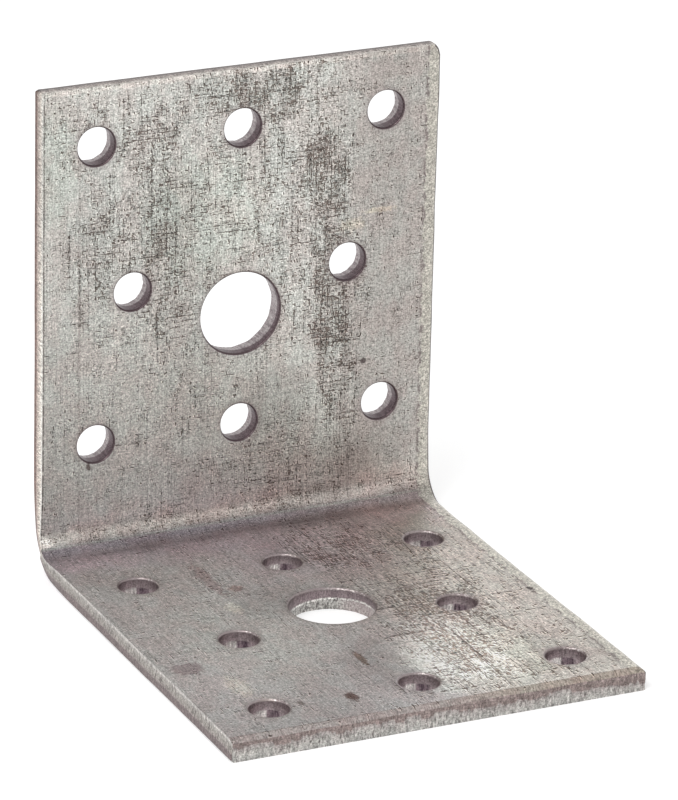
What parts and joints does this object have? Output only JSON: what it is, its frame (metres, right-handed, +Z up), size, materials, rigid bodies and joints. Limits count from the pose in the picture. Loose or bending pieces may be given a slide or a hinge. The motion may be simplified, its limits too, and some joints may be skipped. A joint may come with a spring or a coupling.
{
  "type": "corner brace bracket",
  "caption": "Perforated right-angle brace folded from galvanised sheet steel, with a pattern of nail holes and a larger bolt hole in each leg.",
  "frame": {"origin": "middle of the footprint, on the underside of the base leg", "axes": "+Z up along the wall leg, +Y out of the back of the wall leg, X across the width"},
  "size_m": [0.055, 0.064, 0.065],
  "materials": {
    "galvanised_steel": "hot-dip galvanised, dull, scuffed"
  },
  "bodies": {
    "root": {"corner_bracket": "galvanised_steel"}
  },
  "joints": []
}
